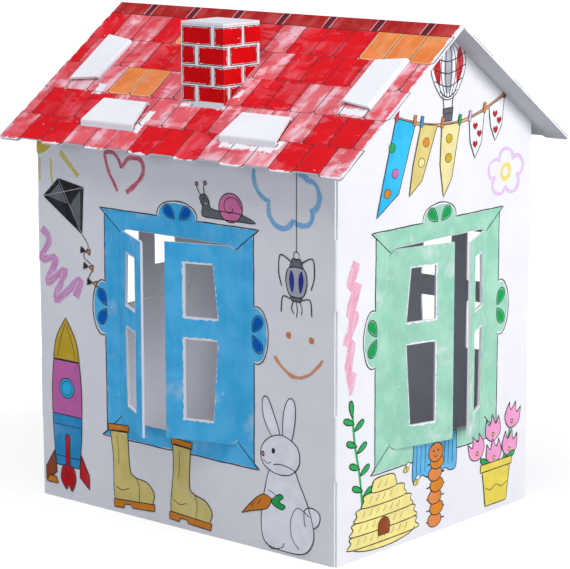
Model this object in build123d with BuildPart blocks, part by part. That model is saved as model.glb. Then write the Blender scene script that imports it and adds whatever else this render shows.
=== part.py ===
"""Cardboard playhouse folded from three sheets: walls, roof and chimney.

Millimetres, +Z up. The front wall faces -Y and the ridge runs along X. The origin lies on the
floor under the middle of everything, open shutters and eaves included.
"""

import os
from math import cos, radians, sin, tan

from build123d import *

# Board and cuts
board = 5.0  # thickness of the corrugated board
facing = 0.8  # inner facing that a cut corner leaves whole
cut_gap = 1.0  # width of a cut line round a leaf
slot_room = 1.0  # room on each face of a tab in its slot
slot_end_room = 4.0  # room at each end of a tab in its slot

# House
house_length = 800.0  # along the ridge
house_depth = 630.0
ridge_height = 1016.0
roof_pitch = 34.7  # degrees
verge_overhang = 56.0  # roof beyond the gables
eave_overhang = 53.5  # roof beyond the long walls, measured level

# Corner folds, as heights where the crease is left whole; the rest of the corner is cut open
crease_runs = ((168.0, 297.0), (499.0, 635.0))
glue_flap_width = 76.0
glue_flap_taper = 14.0  # degrees

# Shutters: two leaves to an opening
leaf_width = 161.0
leaf_height = 397.0
sill_height = 198.0
leaf_corner = 26.0  # round corner at the hinge side
front_window_x = -5.0
gable_window_y = 3.5
front_left_swing = 30.5  # degrees, open from the wall
front_right_swing = 16.3
gable_near_swing = 15.5
gable_far_swing = 24.5

# Panes cut through a shutter leaf, measured from its hinge and its lower edge
pane_free_edge = 115.0
pane_hinge_wide = 44.5  # hinge edge of a pane beside the crossbar
pane_hinge_narrow = 55.0  # hinge edge of a pane at its far end
lower_pane = (44.0, 204.5)
upper_pane = (249.5, 355.5)

# Low window of the left gable
low_window_across = 11.0  # off the gable's middle, towards the front wall
low_sill_height = 370.5
low_bottom_rail = 72.5
low_top_rail = 42.0
low_far_swing = 1.5  # all but shut

# Door of the back wall, with four panes
door_width = 262.0
door_height = 556.0
door_step = 44.0  # strip of wall left under the door
door_centre_x = 220.5
door_swing = 1.5
door_stile = 33.0  # from the door's edge to its panes
door_post = 40.0  # between the left and the right panes
door_pane_slant = 7.0
door_lower_pane = (256.0, 358.0)
door_upper_pane = (402.0, 508.0)

# Tabs that rise through the roof, lie on it and dip into a second slot
tab_root_width = 144.0
tab_tip_width = 120.0
tab_reach = 73.0
tab_lift = 3.5  # air under a tab
tab_bend = 4.5  # bend radius at the middle of the board
tab_tip_depth = 12.0  # tip below the roof's underside
long_wall_tab_x = (-196.0, 179.0)
gable_tab_from_ridge = 188.0

# Roof edge, cut as the ends of a row of tiles
tile_count = 15
tile_drop = 8.0  # how far every other tile hangs out
tile_corner = 9.0
ridge_round = 3.0

# Chimney
chimney_width = 115.0
chimney_depth = 108.5
chimney_x = -7.0
chimney_from_ridge = 181.5  # its middle, measured level
chimney_below_ridge = 4.0  # lid below the ridge
chimney_round = 3.5
lid_gap = 0.8  # shadow line under the lid's three free edges
tongue_width = 83.0
tongue_offset = 15.0
tongue_depth = 14.0
tongue_slot_front = 9.0  # slot left open in front of a tongue

# Derived places
pitch = radians(roof_pitch)
wall_height = ridge_height - board / cos(pitch) - house_depth / 2 * tan(pitch)
gable_peak = ridge_height - board / cos(pitch)
slope_length = (house_depth / 2 + eave_overhang) / cos(pitch)
roof_length = house_length + 2 * verge_overhang
tile_width = roof_length / tile_count
shutter_reach = house_depth / 2 + leaf_width * sin(radians(front_left_swing))
eave_reach = house_depth / 2 + eave_overhang
ridge_y = (shutter_reach - eave_reach) / 2
front_y = ridge_y - house_depth / 2
back_y = ridge_y + house_depth / 2
wall_middle = house_depth / 2 - board / 2
tab_root_from_ridge = wall_middle / cos(pitch)
low_leaf_height = sill_height + leaf_height - low_sill_height
low_pane = (low_bottom_rail, low_leaf_height - low_top_rail)
chimney_top = ridge_height - chimney_below_ridge
cut_size = house_length + house_depth + ridge_height  # larger than any cut needs

# Walls seen from outside: x to the right, y up, z outwards
front_wall = Plane(origin=(0, front_y, 0), x_dir=(1, 0, 0), z_dir=(0, -1, 0))
back_wall = Plane(origin=(0, back_y, 0), x_dir=(-1, 0, 0), z_dir=(0, 1, 0))
right_gable = Plane(origin=(house_length / 2, ridge_y, 0), x_dir=(0, 1, 0), z_dir=(1, 0, 0))
left_gable = Plane(origin=(-house_length / 2, ridge_y, 0), x_dir=(0, -1, 0), z_dir=(-1, 0, 0))

# Roof slopes: x along the ridge, y up the slope, z out of the roof
front_slope = Plane(
    origin=(0, ridge_y, ridge_height), x_dir=(1, 0, 0), z_dir=(0, -sin(pitch), cos(pitch))
)
back_slope = Plane(
    origin=(0, ridge_y, ridge_height), x_dir=(-1, 0, 0), z_dir=(0, sin(pitch), cos(pitch))
)


def shutter_panes(spans):
    """Pane corners of a shutter: each pane is widest beside the crossbar."""
    crossbar = sum(spans[0] + spans[-1]) / 4
    panes = []
    for low, high in spans:
        wide_at_top = high < crossbar
        low_hinge = pane_hinge_narrow if wide_at_top else pane_hinge_wide
        high_hinge = pane_hinge_wide if wide_at_top else pane_hinge_narrow
        panes.append(
            ((low_hinge, low), (pane_free_edge, low), (pane_free_edge, high), (high_hinge, high))
        )
    return panes


def door_panes():
    """Pane corners of the door: outer edges lean out towards the crossbar."""
    panes = []
    for low, high in (door_lower_pane, door_upper_pane):
        wide_at_top = high < door_upper_pane[0]
        low_slant = door_pane_slant if wide_at_top else 0
        high_slant = 0 if wide_at_top else door_pane_slant
        inner = door_width / 2 - door_post / 2
        panes.append(
            ((door_stile + low_slant, low), (inner, low), (inner, high), (door_stile + high_slant, high))
        )
        panes.append(
            (
                (door_width - inner, low),
                (door_width - door_stile - low_slant, low),
                (door_width - door_stile - high_slant, high),
                (door_width - inner, high),
            )
        )
    return panes


def swung_leaf(wall, hinge_x, foot, width, height, side, swing, panes):
    """A leaf cut from its wall and folded outwards; side is 1 where it reaches along the wall's x."""
    turn = side * radians(swing)
    crease = Plane(
        origin=wall.from_local_coords((hinge_x, foot, 0)),
        x_dir=wall.x_dir * cos(turn) + wall.z_dir * sin(turn),
        z_dir=wall.z_dir * cos(turn) - wall.x_dir * sin(turn),
    )
    bend = Plane(
        origin=wall.from_local_coords((hinge_x, foot + leaf_corner, 0)),
        x_dir=wall.x_dir,
        z_dir=wall.y_dir,
    )
    with BuildPart() as leaf:
        with BuildSketch(crease) as outline:
            with Locations((side * width / 2, height / 2)):
                Rectangle(width - 2 * cut_gap, height - 2 * cut_gap)
            hinge_corners = outline.vertices().sort_by(Axis.X, reverse=side < 0)[:2]
            fillet(hinge_corners, leaf_corner - cut_gap)
            with Locations((side * cut_gap, height / 2)):
                Rectangle(2 * cut_gap, height - 2 * leaf_corner)
            for corners in panes:
                Polygon(*[(side * x, y) for x, y in corners], align=None, mode=Mode.SUBTRACT)
        extrude(amount=-board)
        with BuildSketch(bend):
            with BuildLine():
                start = Line((0, 0), (0, board))
                arc = CenterArc((0, 0), board, 90, -side * swing)
                Line(arc @ 1, start @ 0)
            make_face()
        extrude(amount=height - 2 * leaf_corner)
    return leaf.part


def woven_tab(lay, lean):
    """A tab lying along lay's y, its stem leaning by the given angle from the roof's normal."""
    middle = board / 2 + tab_lift
    stem = middle + 2 * board + tan(lean) * board
    with BuildPart() as tab:
        with BuildSketch(Plane(origin=lay.origin, x_dir=lay.y_dir, z_dir=lay.x_dir)):
            with BuildLine():
                knee = (middle * tan(lean), middle)
                FilletPolyline(
                    (knee[0] - stem * sin(lean), knee[1] - stem * cos(lean)),
                    knee,
                    (tab_reach, middle),
                    (tab_reach, -board - tab_tip_depth),
                    radius=tab_bend,
                )
            trace(line_width=board)
        extrude(amount=tab_root_width / 2, both=True)
        with BuildSketch(lay):
            Polygon(
                (-tab_root_width / 2, -tab_reach),
                (tab_root_width / 2, -tab_reach),
                (tab_root_width / 2, 0),
                (tab_tip_width / 2, tab_reach),
                (tab_tip_width / 2, 2 * tab_reach),
                (-tab_tip_width / 2, 2 * tab_reach),
                (-tab_tip_width / 2, tab_reach),
                (-tab_root_width / 2, 0),
                align=None,
            )
        extrude(amount=tab_reach, both=True, mode=Mode.INTERSECT)
    return tab.part


def tab_beds(slope):
    """Where tabs lie on a slope: a plane and the lean of the stem for each."""
    beds = []
    for x in long_wall_tab_x:
        place = x if slope is front_slope else -x
        origin = slope.from_local_coords((place, -tab_root_from_ridge, 0))
        beds.append((Plane(origin=origin, x_dir=slope.x_dir, z_dir=slope.z_dir), pitch))
    for side in (1, -1):
        origin = slope.from_local_coords((side * (house_length - board) / 2, -gable_tab_from_ridge, 0))
        beds.append((Plane(origin=origin, x_dir=slope.y_dir * side, z_dir=slope.z_dir), 0.0))
    return beds


# Leaves and tabs, made first and joined to the wall sheet below
leaves = [
    swung_leaf(
        front_wall, front_window_x - leaf_width, sill_height, leaf_width, leaf_height,
        1, front_left_swing, shutter_panes((lower_pane, upper_pane)),
    ),
    swung_leaf(
        front_wall, front_window_x + leaf_width, sill_height, leaf_width, leaf_height,
        -1, front_right_swing, shutter_panes((lower_pane, upper_pane)),
    ),
    swung_leaf(
        right_gable, gable_window_y - leaf_width, sill_height, leaf_width, leaf_height,
        1, gable_near_swing, shutter_panes((lower_pane, upper_pane)),
    ),
    swung_leaf(
        right_gable, gable_window_y + leaf_width, sill_height, leaf_width, leaf_height,
        -1, gable_far_swing, shutter_panes((lower_pane, upper_pane)),
    ),
    swung_leaf(
        left_gable, low_window_across - leaf_width, low_sill_height, leaf_width, low_leaf_height,
        1, low_far_swing, shutter_panes((low_pane,)),
    ),
    swung_leaf(
        left_gable, low_window_across + leaf_width, low_sill_height, leaf_width, low_leaf_height,
        -1, gable_far_swing, shutter_panes((low_pane,)),
    ),
    swung_leaf(
        back_wall, -door_centre_x + door_width / 2, door_step, door_width, door_height,
        -1, door_swing, door_panes(),
    ),
]
tabs = [woven_tab(lay, lean) for slope in (front_slope, back_slope) for lay, lean in tab_beds(slope)]

# Wall sheet: four walls in one strip, closed by a glue flap at the rear left corner
with BuildPart() as wall_sheet:
    for wall in (front_wall, back_wall):
        with BuildSketch(wall):
            Rectangle(house_length, wall_height, align=(Align.CENTER, Align.MIN))
        extrude(amount=-board)
    for gable in (right_gable, left_gable):
        with BuildSketch(gable):
            Polygon(
                (-house_depth / 2, 0),
                (house_depth / 2, 0),
                (house_depth / 2, wall_height),
                (0, gable_peak),
                (-house_depth / 2, wall_height),
                align=None,
            )
        extrude(amount=-board)

    # Folded corners are round outside
    with BuildSketch(Plane(origin=(0, ridge_y, 0))):
        RectangleRounded(house_length, house_depth, board)
    extrude(amount=ridge_height, mode=Mode.INTERSECT)

    # Between the creases a corner is cut to its inner facing and opens into a square notch
    notch = board - facing
    cut_starts = (0.0,) + tuple(top for low, top in crease_runs)
    cut_ends = tuple(low for low, top in crease_runs) + (wall_height,)
    for cut_start, cut_end in zip(cut_starts, cut_ends):
        with BuildSketch(Plane(origin=(0, ridge_y, cut_start))):
            with GridLocations(house_length - notch, house_depth - notch, 2, 2):
                Rectangle(notch, notch)
        extrude(amount=cut_end - cut_start, mode=Mode.SUBTRACT)

    # Glue flap, folded from the back wall onto the inside of the left gable
    with BuildSketch(left_gable.offset(-board)):
        flap_root = -house_depth / 2 + board
        flap_edge = flap_root + glue_flap_width
        flap_rise = glue_flap_width * tan(radians(glue_flap_taper))
        Polygon(
            (flap_root, board),
            (flap_edge, board + flap_rise),
            (flap_edge, wall_height - board - flap_rise),
            (flap_root, wall_height - board),
            align=None,
        )
    extrude(amount=-board)

    # Window and door openings
    windows = (
        (front_wall, front_window_x, sill_height, 2 * leaf_width, leaf_height),
        (right_gable, gable_window_y, sill_height, 2 * leaf_width, leaf_height),
        (left_gable, low_window_across, low_sill_height, 2 * leaf_width, low_leaf_height),
        (back_wall, -door_centre_x, door_step, door_width, door_height),
    )
    for wall, middle, foot, width, height in windows:
        with BuildSketch(wall):
            with Locations((middle, foot + height / 2)):
                RectangleRounded(width, height, leaf_corner)
        extrude(amount=-board, mode=Mode.SUBTRACT)

    for leaf in leaves:
        add(leaf)
    for tab in tabs:
        add(tab)

# Roof sheet: two slopes folded at the ridge
with BuildPart() as roof_sheet:
    for slope in (front_slope, back_slope):
        with BuildSketch(slope):
            Rectangle(roof_length, slope_length - tile_drop, align=(Align.CENTER, Align.MAX))
            with Locations((0, tile_width / 2 - slope_length)):
                with GridLocations(2 * tile_width, 1, (tile_count + 1) // 2, 1):
                    RectangleRounded(tile_width, tile_width, tile_corner)
        extrude(amount=-board)
    ridge_edges = roof_sheet.edges().filter_by(Axis.X).group_by(Axis.Z)[-1]
    fillet(ridge_edges, ridge_round)

    # Slots for the tabs, cut square through the sheet
    stem_slot = board / cos(pitch) + board * tan(pitch) + 2 * slot_room
    tab_slot = board + 2 * slot_room
    root_slot_length = tab_root_width + 2 * slot_end_room
    tip_slot_length = tab_tip_width + 2 * slot_end_room
    for slope in (front_slope, back_slope):
        for lay, lean in tab_beds(slope):
            with BuildSketch(lay):
                with Locations((0, -board * tan(lean) / 2)):
                    Rectangle(root_slot_length, stem_slot if lean else tab_slot)
                with Locations((0, tab_reach)):
                    Rectangle(tip_slot_length, tab_slot)
            extrude(amount=board, both=True, mode=Mode.SUBTRACT)

    # Slots for the chimney's tongues, the front one left open below it
    with BuildSketch(front_slope):
        for end in (-1, 1):
            level = chimney_from_ridge + end * (chimney_depth - board) / 2
            slot_low = -(level + board / 2) / cos(pitch) - board * tan(pitch) - tongue_slot_front
            slot_high = -(level - board / 2) / cos(pitch) + slot_room
            with Locations((chimney_x + tongue_offset, (slot_low + slot_high) / 2)):
                Rectangle(tongue_width + 2 * slot_room, slot_high - slot_low)
    extrude(amount=-board, mode=Mode.SUBTRACT)

# Chimney: four walls and a lid folded from one sheet, standing on the front slope
chimney_y = ridge_y - chimney_from_ridge
inside_width = chimney_width - 2 * board
inside_depth = chimney_depth - 2 * board
with BuildPart() as chimney:
    with BuildSketch(Plane(origin=(chimney_x, chimney_y, wall_height))):
        RectangleRounded(chimney_width, chimney_depth, chimney_round)
    extrude(amount=chimney_top - wall_height)
    with BuildSketch(Plane(origin=(chimney_x, chimney_y, wall_height))):
        Rectangle(inside_width, inside_depth)
    extrude(amount=chimney_top - wall_height - board, mode=Mode.SUBTRACT)

    # The lid hangs on the back wall; its other three edges only rest on the walls
    with BuildSketch(Plane(origin=(chimney_x, chimney_y, chimney_top - board - lid_gap))):
        with Locations((0, -board)):
            Rectangle(chimney_width, chimney_depth)
    extrude(amount=lid_gap, mode=Mode.SUBTRACT)

    # Foot cut to the slope, with a tongue down through the roof at the front and the back
    with BuildSketch(front_slope):
        Rectangle(cut_size, cut_size)
    extrude(amount=-cut_size, mode=Mode.SUBTRACT)
    for end in (-1, 1):
        level = chimney_from_ridge + end * (chimney_depth - board) / 2
        surface = ridge_height - level * tan(pitch)
        tongue_foot = surface - board / cos(pitch) - tongue_depth
        with BuildSketch(Plane(origin=(chimney_x + tongue_offset, ridge_y - level, tongue_foot))):
            Rectangle(tongue_width, board)
        extrude(amount=surface + board - tongue_foot)

wall_sheet.part.label = "wall_sheet"
roof_sheet.part.label = "roof_sheet"
chimney.part.label = "chimney"

os.makedirs("parts", exist_ok=True)
export_step(wall_sheet.part, "parts/wall_sheet.step")
export_step(roof_sheet.part, "parts/roof_sheet.step")
export_step(chimney.part, "parts/chimney.step")
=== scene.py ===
from functools import partial
from math import copysign, cos, degrees, dist, radians, sin, tan, tau

import bmesh
import bpy
from mathutils import Euler, Matrix, Vector, noise


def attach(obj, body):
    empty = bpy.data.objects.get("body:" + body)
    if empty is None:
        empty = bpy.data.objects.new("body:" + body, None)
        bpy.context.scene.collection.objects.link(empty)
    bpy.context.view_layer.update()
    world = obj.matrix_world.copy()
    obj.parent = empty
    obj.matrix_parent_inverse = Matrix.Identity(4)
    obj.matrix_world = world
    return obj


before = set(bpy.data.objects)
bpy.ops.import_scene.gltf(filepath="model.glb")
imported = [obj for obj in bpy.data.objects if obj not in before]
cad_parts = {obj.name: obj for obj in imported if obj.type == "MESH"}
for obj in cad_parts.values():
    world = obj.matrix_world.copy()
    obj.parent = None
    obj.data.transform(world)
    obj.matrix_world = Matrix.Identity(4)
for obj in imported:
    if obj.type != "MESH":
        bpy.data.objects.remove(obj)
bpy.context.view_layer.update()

mm = 0.001

# Sizes of the house in millimetres, as in the solids
house = {"length": 800, "depth": 630, "ridge": 1016, "pitch": radians(34.7), "ridgeY": 14.107}

# Colours in linear light
colour = {
    "card": (0.84, 0.845, 0.88),
    "ink": (0.012, 0.011, 0.012),
    "red": (0.71, 0.007, 0.014),
    "darkRed": (0.39, 0.010, 0.009),
    "tileOrange": (0.83, 0.22, 0.045),
    "brick": (0.65, 0.001, 0.003),
    "blue": (0.055, 0.50, 0.90),
    "deepBlue": (0.002, 0.118, 0.54),
    "green": (0.32, 0.665, 0.485),
    "deepGreen": (0.01, 0.36, 0.08),
}
tree = None  # the node tree that the helpers below add to


# Links an output to a socket, or sets a constant on it
def put(value, socket):
    if isinstance(value, bpy.types.NodeSocket):
        tree.links.new(value, socket)
    elif isinstance(value, tuple) and socket.type == "RGBA":
        socket.default_value = (*value, 1)
    else:
        socket.default_value = value


# A new node with its settings, and values for its inputs by name or by place
def step(kind, values, **settings):
    node = tree.nodes.new("ShaderNode" + kind)
    for name, setting in settings.items():
        setattr(node, name, setting)
    for label, value in values.items():
        put(value, node.inputs[label])
    return node


def calc(operation, *values, clamp=False):
    return step("Math", dict(enumerate(values)), operation=operation, use_clamp=clamp).outputs[0]


plus, minus, times, over, timesPlus = (
    partial(calc, name) for name in ("ADD", "SUBTRACT", "MULTIPLY", "DIVIDE", "MULTIPLY_ADD"))
larger, smaller, absolute, floored, isOver, isUnder = (
    partial(calc, name) for name in ("MAXIMUM", "MINIMUM", "ABSOLUTE", "FLOOR", "GREATER_THAN", "LESS_THAN"))


def ease(value, low, high, start=0, end=1):
    limits = dict(enumerate((value, low, high, start, end)))
    return step("MapRange", limits, interpolation_type="SMOOTHSTEP").outputs[0]


def blend(factor, first, second, mode="MIX"):
    return step("Mix", {0: factor, 6: first, 7: second}, data_type="RGBA", blend_type=mode).outputs[2]


def blendValue(factor, first, second):
    return step("Mix", {0: factor, 2: first, 3: second}).outputs[0]


def grain(vector, scale, detail=2, roughness=0.55, distortion=0):
    return step("TexNoise", {"Vector": vector, "Scale": scale, "Detail": detail, "Roughness": roughness,
                             "Distortion": distortion}).outputs["Fac"]


def stretch(vector, scale, shift=(0, 0, 0)):
    return step("Mapping", {"Location": shift, "Scale": scale, "Vector": vector}).outputs[0]


def joined(x, y, z=0):
    return step("CombineXYZ", {0: x, 1: y, 2: z}).outputs[0]


def split(vector):
    return step("SeparateXYZ", {0: vector}).outputs


def dice(x, y, z):
    return step("TexWhiteNoise", {"Vector": joined(x, y, z)}).outputs["Value"]


def objectPlace():
    return step("TexCoord", {}).outputs["Object"]


def newObject(name, data):
    piece = bpy.data.objects.new(name, data)
    bpy.context.scene.collection.objects.link(piece)
    return piece


# A new material with its Principled shader, whose tree takes the nodes that follow
def shade(name, roughness=0.75):
    global tree
    material = bpy.data.materials.new(name)
    material.use_nodes = True
    tree = material.node_tree
    shader = tree.nodes["Principled BSDF"].inputs
    put(roughness, shader["Roughness"])
    put(0.08, shader["Specular IOR Level"])
    return material, shader


# A node group, whose tree takes the nodes that follow, with its two ends
def group(name, inputs, outputs):
    global tree
    tree = bpy.data.node_groups.new(name, "ShaderNodeTree")
    for end, sockets in (("INPUT", inputs), ("OUTPUT", outputs)):
        for label, kind in sockets.items():
            tree.interface.new_socket(label, in_out=end, socket_type="NodeSocket" + kind)
    return tree, tree.nodes.new("NodeGroupInput").outputs, tree.nodes.new("NodeGroupOutput").inputs


def use(groupTree, **values):
    return step("Group", values, node_tree=groupTree).outputs


# A soft-edged mask from a noise, given by scale, detail, roughness and distortion, and its limits
def mask(vector, settings, limits):
    return ease(grain(vector, *settings), *limits)


# Bare card: a faint mottle of the white liner and a fine tooth
cardLook = {
    "dark": (0.812, 0.816, 0.858), "light": (0.872, 0.872, 0.905), "between": (0.3, 0.7), "mottle": (14, 3),
    "fibre": (900, 900, 160), "fibreShare": 0.4, "bump": 0.35, "bumpDepth": 0.0004,
}
cardGroup, given, made = group("bareCard", {"Place": "Vector"}, {"Colour": "Color", "Tooth": "Float"})
mottle = grain(given["Place"], *cardLook["mottle"])
fibre = grain(stretch(given["Place"], cardLook["fibre"]), 1)
whiteness = ease(blendValue(cardLook["fibreShare"], mottle, fibre), *cardLook["between"])
put(blend(whiteness, cardLook["dark"], cardLook["light"]), made["Colour"])
put(fibre, made["Tooth"])


# Card under a material: its tooth as a bump on the shader, its colour for the rest
def cardUnder(shader, place):
    bare = use(cardGroup, Place=place)
    bump = step("Bump", {"Strength": cardLook["bump"], "Distance": cardLook["bumpDepth"], "Height": bare["Tooth"]})
    put(bump.outputs[0], shader["Normal"])
    return bare["Colour"]


# Watercolour on card: pooled pigment, brush streaks along the stroke, pale haze and pinholes of bare card
washLook = {
    "pools": ((22, 3, 0.55, 0.3), (0.34, 0.68)), "poolShare": 0.45,
    "streaks": ((1, 3, 0.6), (0.35, 0.7)), "streakShare": 0.45,
    "blooms": ((9, 4, 0.6, 0.4), (0.50, 0.62)), "bloomShare": 0.10,
    "haze": ((10, 5, 0.64, 0.2), (0.55, 0.72, 0, 3.8)),
    "pinholes": ((150, 1), (0.785, 0.81)),
    "thick": (0.90, 0.91, 0.93), "thin": (1.03, 1.03, 1.03),
}
washGroup, given, made = group(
    "watercolour", {"Place": "Vector", "Stroke": "Vector", "Pigment": "Color", "Load": "Float"}, {"Colour": "Color"})
place = given["Place"]
pools, blooms, haze, pinholes = (mask(place, *washLook[name]) for name in ("pools", "blooms", "haze", "pinholes"))
streaks = mask(given["Stroke"], *washLook["streaks"])
uneven = timesPlus(streaks, washLook["streakShare"], times(blooms, washLook["bloomShare"]))
uneven = plus(timesPlus(pools, washLook["poolShare"], uneven), haze)
loss = times(minus(1, given["Load"]), uneven)
cover = times(minus(1, loss, clamp=True), minus(1, pinholes))
deeper = blend(1, given["Pigment"], blend(pools, washLook["thick"], washLook["thin"]), "MULTIPLY")
put(blend(cover, use(cardGroup, Place=place)["Colour"], deeper), made["Colour"])

# Walls, shutters, door and tabs
cardMaterial, shader = shade("whiteCard")
put(cardUnder(shader, objectPlace()), shader["Base Color"])

# Chimney: the same card, with painted shade making the top of the lid greyer
paintedLidShade = {"height": (1.0106, 1.0114), "tint": (0.70, 0.695, 0.75)}
chimneyMaterial, shader = shade("chimneyCard")
place = objectPlace()
bare = cardUnder(shader, place)
put(blend(ease(split(place)[2], *paintedLidShade["height"]), bare, paintedLidShade["tint"]), shader["Base Color"])

# The roof in millimetres: tiles in rows down both slopes under a ridge band, and how they are painted.
# Limits are where an effect starts and ends; verge, tileRim, eave and tab scale and shift a ragged noise
roof = {
    "left": -456, "slope": 449, "width": 60.8, "row": 82.3, "rows": 5, "corner": 12, "sway": 5,
    "line": (0.95, 1.45, 1, 0), "lineInk": 0.88, "topFace": (-1.5, -0.8), "underFace": (-4.9, -4.6, 1, 0),
    "band": 38.5, "bandLine": (36.4, 37), "bandFade": (0.60, 0.09, 0.09), "joint": 122.3, "jointStart": 352,
    "jointLine": (7.4, 8.4, 1, 0), "jointRim": (8, 8.5), "jointRimEnd": (9.4, 10.6, 1, 0),
    "jointInk": (0.125, 0.012, 0.02), "under": (0.66, 0.675, 0.72), "palest": (0.87, 0.50, 0.56),
    "pale": (0.74, 0.10, 0.125), "orangeRim": (0.86, 0.50, 0.24), "orangeFade": (0.82, 0.31, 0.10),
    "orangeLimits": (1.5, 5.5), "brush": (60, 12, 1), "tabLimits": (-2, 3),
    "secondCoat": ((1, 4, 0.62, 0.6), (0.50, 0.53)), "fade": ((1, 3, 0.55), (0.42, 0.72)),
    "paint": 0.38, "chance": 0.22, "strongAdds": 0.41, "coatAdds": 0.20, "fadeTakes": 0.46, "strongFadeTakes": 0.22,
    "toPale": (0.06, 0.58), "toRed": (0.56, 0.95), "ragged": (55, 4, 0.65), "finelyRagged": (240, 2, 0.6),
    "verge": (17, -7), "rightVerge": 5, "tileRim": (9, -5.2), "eave": (24, -8), "tab": (26, -13),
    # Row from the ridge, first and last column of each run of tiles on the front slope
    "strong": [(0, 0, 0), (0, 3, 3), (0, 7, 7), (0, 9, 11), (1, 0, 0), (1, 4, 6), (1, 10, 12), (2, 9, 10),
               (3, 1, 3), (3, 8, 8), (3, 13, 14), (4, 1, 2), (4, 6, 8), (4, 12, 13)],
    "orange": [(0, 4, 4), (0, 12, 14), (2, 3, 4)],
    # Card left bare beside the tabs and the chimney: centre x, distance from the ridge and half sizes
    "bare": [(-113, 356, 8, 32), (256, 380, 8, 12), (-300, 276, 10, 16), (360, 270, 30, 8), (66, 250, 6, 13),
             (0, 295, 62, 4), (186, 394, 66, 7)],
}
roofMaterial, shader = shade("paintedTiles")
place = objectPlace()
x, y, z = (times(out, 1000) for out in split(place))
slopeRun, slopeRise = cos(house["pitch"]), sin(house["pitch"])
sway = roof["sway"]
swayDown = timesPlus(grain(place, 9, 1), sway, -sway / 2)
swayAlong = timesPlus(grain(stretch(place, (1, 1, 1), (5, 3, 1)), 10, 1), sway, -sway / 2)
fromRidge = minus(y, house["ridgeY"])
side = calc("SIGN", fromRidge)
level = absolute(fromRidge)
above = plus(times(minus(z, house["ridge"]), slopeRun), times(level, slopeRise))
down = plus(over(level, slopeRun), swayDown)
along = plus(x, swayAlong)

# Row, column and the place inside a tile
rows = over(minus(down, roof["band"]), roof["row"])
row = smaller(floored(rows), roof["rows"] - 1)
inRow = times(minus(rows, row), roof["row"])
half = times(calc("FLOORED_MODULO", row, 2), 0.5)
columns = plus(over(minus(along, roof["left"]), roof["width"]), half)
column = floored(columns)
inColumn = times(minus(minus(columns, column), 0.5), roof["width"])
overX = minus(absolute(inColumn), roof["width"] / 2 - roof["corner"])
overY = minus(inRow, roof["row"] - roof["corner"])
reach = calc("SQRT", plus(calc("POWER", larger(overX, 0), 2), calc("POWER", larger(overY, 0), 2)))
inside = smaller(larger(overX, overY), 0)
fromLine = absolute(minus(plus(reach, inside), roof["corner"]))
line = ease(fromLine, *roof["line"])


# A mask of the front slope's tiles in a list of runs
def tileRuns(runs):
    total = 0
    for wanted, first, last in runs:
        here = calc("COMPARE", row, wanted, 0.1)
        span = calc("COMPARE", column, (first + last) / 2, (last - first) / 2 + 0.1)
        total = timesPlus(here, span, total)
    return times(total, isUnder(side, 0))


# Strong tiles stand in runs between paler ones; on the rear slope they fall by chance
rearStrong = times(isOver(dice(row, floored(times(column, 0.5)), 20), 0.5), isOver(side, 0))
strong = plus(tileRuns(roof["strong"]), rearStrong, clamp=True)
slopePlace = joined(times(along, mm), times(down, mm), side)
secondCoat = mask(stretch(slopePlace, (10, 24, 1), (3, 1, 0)), *roof["secondCoat"])
fade = mask(stretch(slopePlace, (34, 13, 1)), *roof["fade"])
thick = timesPlus(strong, roof["strongAdds"], timesPlus(dice(row, column, side), roof["chance"], roof["paint"]))
thick = timesPlus(secondCoat, roof["coatAdds"], thick)
fadeTakes = blendValue(strong, roof["fadeTakes"], roof["strongFadeTakes"])
thick = minus(thick, times(fade, fadeTakes), clamp=True)
light = blend(ease(thick, *roof["toPale"]), roof["palest"], roof["pale"])
pigment = blend(ease(thick, *roof["toRed"]), light, colour["red"])
rim = ease(timesPlus(fade, 2, fromLine), *roof["orangeLimits"])
amber = blend(rim, roof["orangeRim"], blend(fade, colour["tileOrange"], roof["orangeFade"]))
pigment = blend(tileRuns(roof["orange"]), pigment, amber)

# Ridge band of long dark tiles with near-black joints
band = isUnder(down, roof["band"])
halfJoint = roof["joint"] / 2
joint = minus(calc("FLOORED_MODULO", plus(along, roof["jointStart"]), roof["joint"]), halfJoint)
joint = minus(halfJoint, absolute(joint))
jointInk = ease(joint, *roof["jointLine"])
jointRim = times(ease(joint, *roof["jointRim"]), ease(joint, *roof["jointRimEnd"]))
bandWash = blend(times(fade, 0.55), colour["darkRed"], roof["bandFade"])
pigment = blend(band, pigment, blend(jointInk, bandWash, roof["jointInk"]))
load = blendValue(band, blendValue(strong, 0.95, 1), 0.99)
line = blendValue(band, line, ease(down, *roof["bandLine"]))

# Bare rims: along the verges, round the tiles, above the eaves and beside the tabs
ragged, finelyRagged = (grain(slopePlace, *roof[name]) for name in ("ragged", "finelyRagged"))
vergeWidth = timesPlus(isOver(x, 0), roof["rightVerge"], timesPlus(ragged, *roof["verge"]))
verge = ease(minus(minus(-roof["left"], absolute(x)), vergeWidth), -1, 2.5)
tileRim = ease(minus(fromLine, timesPlus(finelyRagged, *roof["tileRim"])), 0, 1.2, 0.45, 1)
fromEave = minus(roof["slope"], over(level, slopeRun))
eave = ease(minus(fromEave, timesPlus(ragged, *roof["eave"])), -1, 2)
painted = times(times(verge, larger(tileRim, band)), eave)
painted = times(painted, minus(1, times(jointRim, times(band, 0.6))))
for middle, distance, wide, high in roof["bare"]:
    across = minus(absolute(minus(x, middle)), wide)
    near = larger(across, minus(absolute(minus(times(down, side), -distance)), high))
    painted = times(painted, ease(minus(near, timesPlus(ragged, *roof["tab"])), *roof["tabLimits"]))

wash = use(washGroup, Place=place, Stroke=stretch(slopePlace, roof["brush"]), Pigment=pigment, Load=load)
bare = cardUnder(shader, place)
look = blend(painted, bare, wash["Colour"])
look = blend(times(line, roof["lineInk"]), look, colour["ink"])
# Painted shade: the underside of the roof board takes a greyer, bluer card tone
boardWithUnderShade = blend(ease(above, *roof["underFace"]), bare, roof["under"])
put(blend(ease(above, *roof["topFace"]), boardWithUnderShade, look), shader["Base Color"])


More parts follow.
